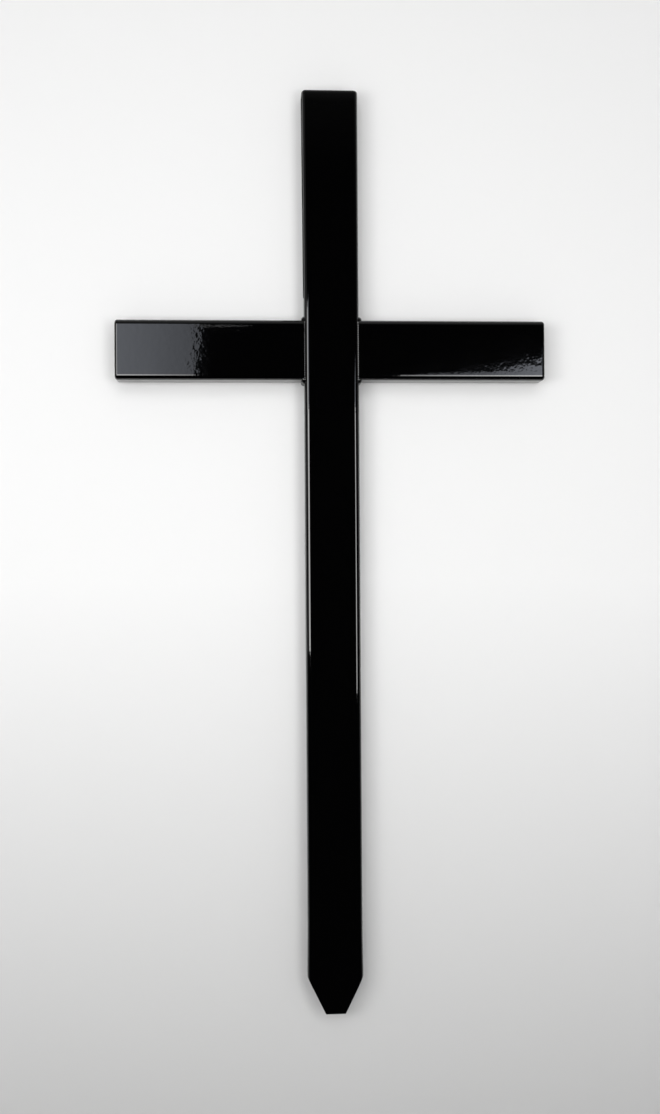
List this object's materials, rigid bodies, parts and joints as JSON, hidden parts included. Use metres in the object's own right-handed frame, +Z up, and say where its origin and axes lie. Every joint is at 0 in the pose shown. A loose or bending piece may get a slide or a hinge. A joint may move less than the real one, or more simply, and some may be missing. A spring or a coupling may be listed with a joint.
{
  "type": "metal grave cross",
  "caption": "Gloss black steel grave cross: a tube post with a truncated point that goes in the ground, and a tube arm welded to each side of it.",
  "frame": {"origin": "centre of the flat underside of the point, the end that goes into the ground", "axes": "+Z up along the post, +X towards the right arm as seen from the front, front face towards -Y"},
  "size_m": [0.399, 0.0254, 0.855],
  "materials": {
    "post_paint": "gloss",
    "arm_paint": "gloss",
    "cap_paint": "gloss",
    "point_paint": "gloss"
  },
  "bodies": {
    "root": {"post": "post_paint", "tip_plate": "point_paint", "top_cap": "cap_paint", "right_arm": "arm_paint", "left_arm": "arm_paint", "right_end_cap": "cap_paint", "left_end_cap": "cap_paint"}
  },
  "joints": []
}
